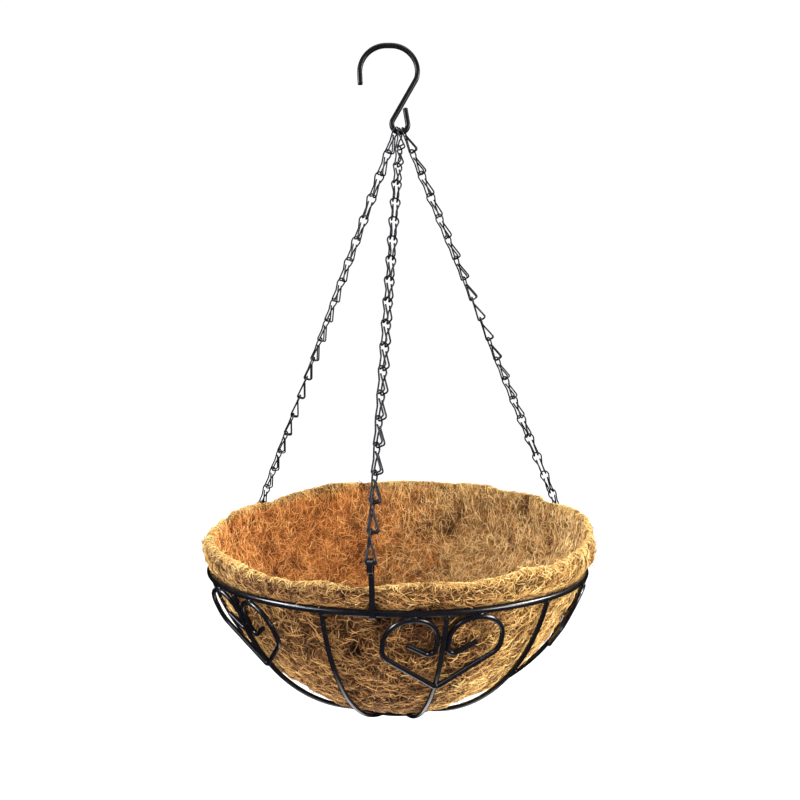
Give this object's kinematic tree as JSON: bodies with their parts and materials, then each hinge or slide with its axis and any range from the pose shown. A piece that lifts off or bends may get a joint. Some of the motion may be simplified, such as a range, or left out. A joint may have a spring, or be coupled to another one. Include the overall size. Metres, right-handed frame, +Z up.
{
  "type": "hanging basket",
  "caption": "Round hanging planter: a black wire bowl with heart scrolls and a coir liner, hung from an S-hook by link chains.",
  "frame": {"origin": "inside of the S-hook at the top of its upper bow, where it rests on whatever holds the basket up", "axes": "+Z up; -Y is the front, the side with the front chain; +X to the right; the S-hook lies in the XZ plane"},
  "size_m": [0.377, 0.3818, 0.6336],
  "materials": {
    "black_coating": "satin to gloss black coating on steel wire and strip",
    "chain_steel": "satin black coating on thin steel wire",
    "coir": "rough matted coconut fibre"
  },
  "bodies": {
    "hook": {"hook": "black_coating"},
    "basket": {"ring": "black_coating", "bottom_ring": "black_coating", "rib_1": "black_coating", "rib_2": "black_coating", "rib_3": "black_coating", "rib_4": "black_coating", "rib_5": "black_coating", "rib_6": "black_coating", "rib_7": "black_coating", "rib_8": "black_coating", "rib_9": "black_coating", "rib_10": "black_coating", "rib_11": "black_coating", "rib_12": "black_coating", "heart_1": "black_coating", "heart_2": "black_coating", "heart_3": "black_coating", "heart_4": "black_coating", "heart_5": "black_coating", "heart_6": "black_coating", "liner": "coir"},
    "clip_front": {"clip_front": "black_coating"},
    "chain_front_lower": {"chain_front_lower_run": "chain_steel", "chain_front_last_link": "chain_steel"},
    "chain_front_middle": {"chain_front_middle_run": "chain_steel"},
    "chain_front_upper": {"chain_front_upper_run": "chain_steel", "chain_front_first_link": "chain_steel"},
    "clip_right": {"clip_right": "black_coating"},
    "chain_right_lower": {"chain_right_lower_run": "chain_steel", "chain_right_last_link": "chain_steel"},
    "chain_right_middle": {"chain_right_middle_run": "chain_steel"},
    "chain_right_upper": {"chain_right_upper_run": "chain_steel", "chain_right_first_link": "chain_steel"},
    "clip_left": {"clip_left": "black_coating"},
    "chain_left_lower": {"chain_left_lower_run": "chain_steel", "chain_left_last_link": "chain_steel"},
    "chain_left_middle": {"chain_left_middle_run": "chain_steel"},
    "chain_left_upper": {"chain_left_upper_run": "chain_steel", "chain_left_first_link": "chain_steel"}
  },
  "joints": [
    {"name": "basket_swing", "type": "hinge", "parent": "hook", "child": "basket", "pos_m": [0.0122, 0, -0.0822], "axis": [1, 0, 0], "range_deg": [-10, 10]},
    {"name": "clip_front_tip", "type": "hinge", "parent": "basket", "child": "clip_front", "pos_m": [-0.00427, -0.17422, -0.498], "axis": [0.9956, -0.0941, 0], "range_deg": [0, 50]},
    {"name": "chain_front_fold", "type": "hinge", "parent": "clip_front", "child": "chain_front_lower", "pos_m": [-0.00568, -0.18916, -0.461], "axis": [0.9956, -0.0941, 0], "range_deg": [0, 90]},
    {"name": "chain_front_bend_low", "type": "hinge", "parent": "chain_front_lower", "child": "chain_front_middle", "pos_m": [0.00037, -0.11789, -0.31864], "axis": [0.669, 0.6508, -0.3589], "range_deg": [0, 45]},
    {"name": "chain_front_bend_high", "type": "hinge", "parent": "chain_front_middle", "child": "chain_front_upper", "pos_m": [0.00636, -0.0582, -0.19923], "axis": [0.9492, 0.2599, -0.1775], "range_deg": [0, 45]},
    {"name": "clip_right_tip", "type": "hinge", "parent": "basket", "child": "clip_right", "pos_m": [0.17132, 0.07285, -0.498], "axis": [-0.4163, 0.9092, 0], "range_deg": [0, 50]},
    {"name": "chain_right_fold", "type": "hinge", "parent": "clip_right", "child": "chain_right_lower", "pos_m": [0.18496, 0.07909, -0.461], "axis": [-0.4163, 0.9092, 0], "range_deg": [0, 90]},
    {"name": "chain_right_bend_low", "type": "hinge", "parent": "chain_right_lower", "child": "chain_right_middle", "pos_m": [0.12158, 0.04868, -0.31825], "axis": [-0.5684, 0.8183, -0.0855], "range_deg": [0, 45]},
    {"name": "chain_right_bend_high", "type": "hinge", "parent": "chain_right_middle", "child": "chain_right_upper", "pos_m": [0.06809, 0.02403, -0.19851], "axis": [0.4877, 0.7861, 0.3797], "range_deg": [0, 45]},
    {"name": "clip_left_tip", "type": "hinge", "parent": "basket", "child": "clip_left", "pos_m": [-0.13045, 0.10137, -0.498], "axis": [-0.5793, -0.8151, 0], "range_deg": [0, 50]},
    {"name": "chain_left_fold", "type": "hinge", "parent": "clip_left", "child": "chain_left_lower", "pos_m": [-0.14267, 0.11006, -0.461], "axis": [-0.5793, -0.8151, 0], "range_deg": [0, 90]},
    {"name": "chain_left_bend_low", "type": "hinge", "parent": "chain_left_lower", "child": "chain_left_middle", "pos_m": [-0.08633, 0.06805, -0.3182], "axis": [-0.0471, -0.9648, -0.2587], "range_deg": [0, 45]},
    {"name": "chain_left_bend_high", "type": "hinge", "parent": "chain_left_middle", "child": "chain_left_upper", "pos_m": [-0.03859, 0.03359, -0.19842], "axis": [-0.7495, -0.6527, 0.111], "range_deg": [0, 45]}
  ]
}
